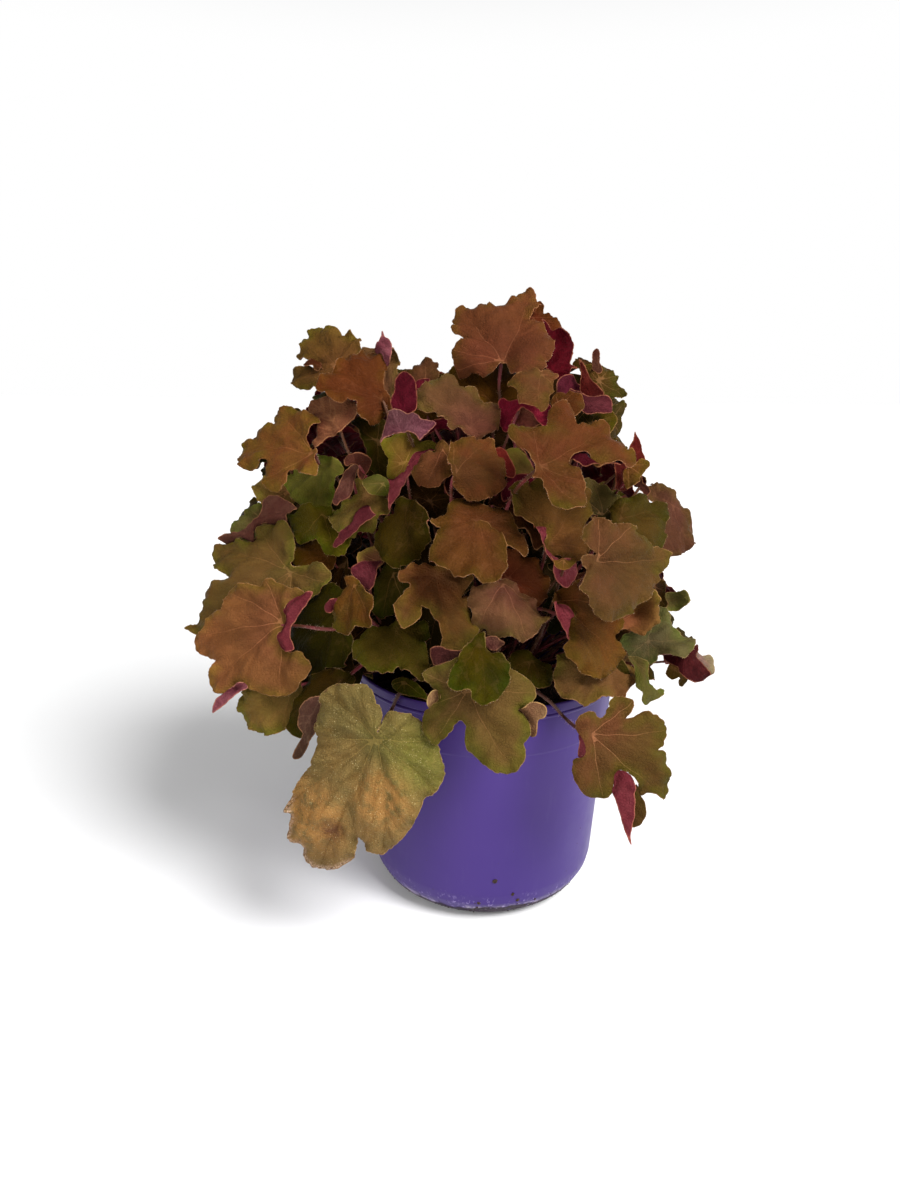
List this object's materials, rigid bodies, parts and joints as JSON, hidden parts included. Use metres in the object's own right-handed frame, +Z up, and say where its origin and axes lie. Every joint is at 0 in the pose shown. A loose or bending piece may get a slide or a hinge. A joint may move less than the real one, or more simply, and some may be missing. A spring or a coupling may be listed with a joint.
{
  "type": "potted heuchera plant",
  "caption": "Leafy heuchera perennial in a round plastic nursery pot: a mounded clump of lobed bronze, orange and olive leaves on thin stalks above a tapered pot with a banded rim.",
  "frame": {"origin": "centre of the pot's flat foot, on the surface the pot stands on", "axes": "+Z up along the pot's axis; +X to the right and -Y toward the viewer of the plant's front"},
  "size_m": [0.3295, 0.2852, 0.3887],
  "materials": {
    "pot_plastic": "matte violet polypropylene, fine moulded texture, scuffed near the foot",
    "compost": "dark damp peat compost, granular and matt",
    "crown_wood": "rough brown rhizome bark with old leaf bases",
    "leaf_orange": "orange-bronze leaf, satin, pale pink veins, magenta underside",
    "leaf_olive_orange": "olive-orange leaf, satin, pale veins, magenta-pink underside",
    "leaf_bronze": "brown bronze leaf, satin, dark red-pink underside",
    "leaf_olive": "olive leaf, satin, pale veins, pink underside",
    "leaf_green": "yellow-green leaf, satin, pale margin, pink underside",
    "leaf_bright_green": "bright green leaf, satin, wide pale margin",
    "leaf_red": "dark red young leaf, satin",
    "leaf_aged": "old leaf, pale yellow-green turning tan-orange, coarse and puckered"
  },
  "bodies": {
    "root": {"pot": "pot_plastic", "potting_soil": "compost", "crown": "crown_wood", "leaf_aged_low_left": "leaf_aged", "leaf_left_01": "leaf_olive", "leaf_crest": "leaf_orange", "leaf_big_left": "leaf_orange", "leaf_right_01": "leaf_orange", "leaf_over_rim": "leaf_olive_orange", "leaf_front_03": "leaf_olive_orange", "leaf_front_04": "leaf_orange", "leaf_back_01": "leaf_bronze", "leaf_left_03": "leaf_olive", "leaf_low_right": "leaf_olive_orange", "leaf_left_04": "leaf_orange", "leaf_front_05": "leaf_bronze", "leaf_front_06": "leaf_orange", "leaf_front_07": "leaf_orange", "leaf_top_02": "leaf_bronze", "leaf_top_03": "leaf_orange", "leaf_top_04": "leaf_olive_orange", "leaf_front_08": "leaf_olive_orange", "leaf_left_05": "leaf_green", "leaf_front_09": "leaf_green", "leaf_front_10": "leaf_olive_orange", "leaf_left_06": "leaf_bronze", "leaf_front_11": "leaf_olive", "leaf_right_03": "leaf_green", "leaf_front_12": "leaf_bronze", "leaf_front_13": "leaf_olive", "leaf_right_04": "leaf_bronze", "leaf_left_07": "leaf_olive", "leaf_right_05": "leaf_green", "leaf_front_14": "leaf_bronze", "leaf_top_05": "leaf_olive_orange", "leaf_bright_green": "leaf_bright_green", "leaf_left_08": "leaf_olive", "leaf_front_16": "leaf_olive", "leaf_front_17": "leaf_orange", "leaf_left_09": "leaf_bronze", "leaf_front_18": "leaf_olive", "leaf_top_06": "leaf_red", "leaf_left_10": "leaf_olive_orange", "leaf_left_11": "leaf_orange", "leaf_back_02": "leaf_orange", "leaf_back_03": "leaf_orange", "leaf_back_04": "leaf_olive", "leaf_back_05": "leaf_green", "leaf_back_06": "leaf_olive", "leaf_left_12": "leaf_olive", "leaf_back_07": "leaf_orange", "leaf_back_08": "leaf_olive", "leaf_back_09": "leaf_orange", "leaf_back_10": "leaf_green", "leaf_back_11": "leaf_orange", "leaf_right_06": "leaf_green", "leaf_back_12": "leaf_olive", "leaf_back_13": "leaf_olive_orange", "leaf_back_14": "leaf_orange", "leaf_back_15": "leaf_orange"}
  },
  "joints": []
}
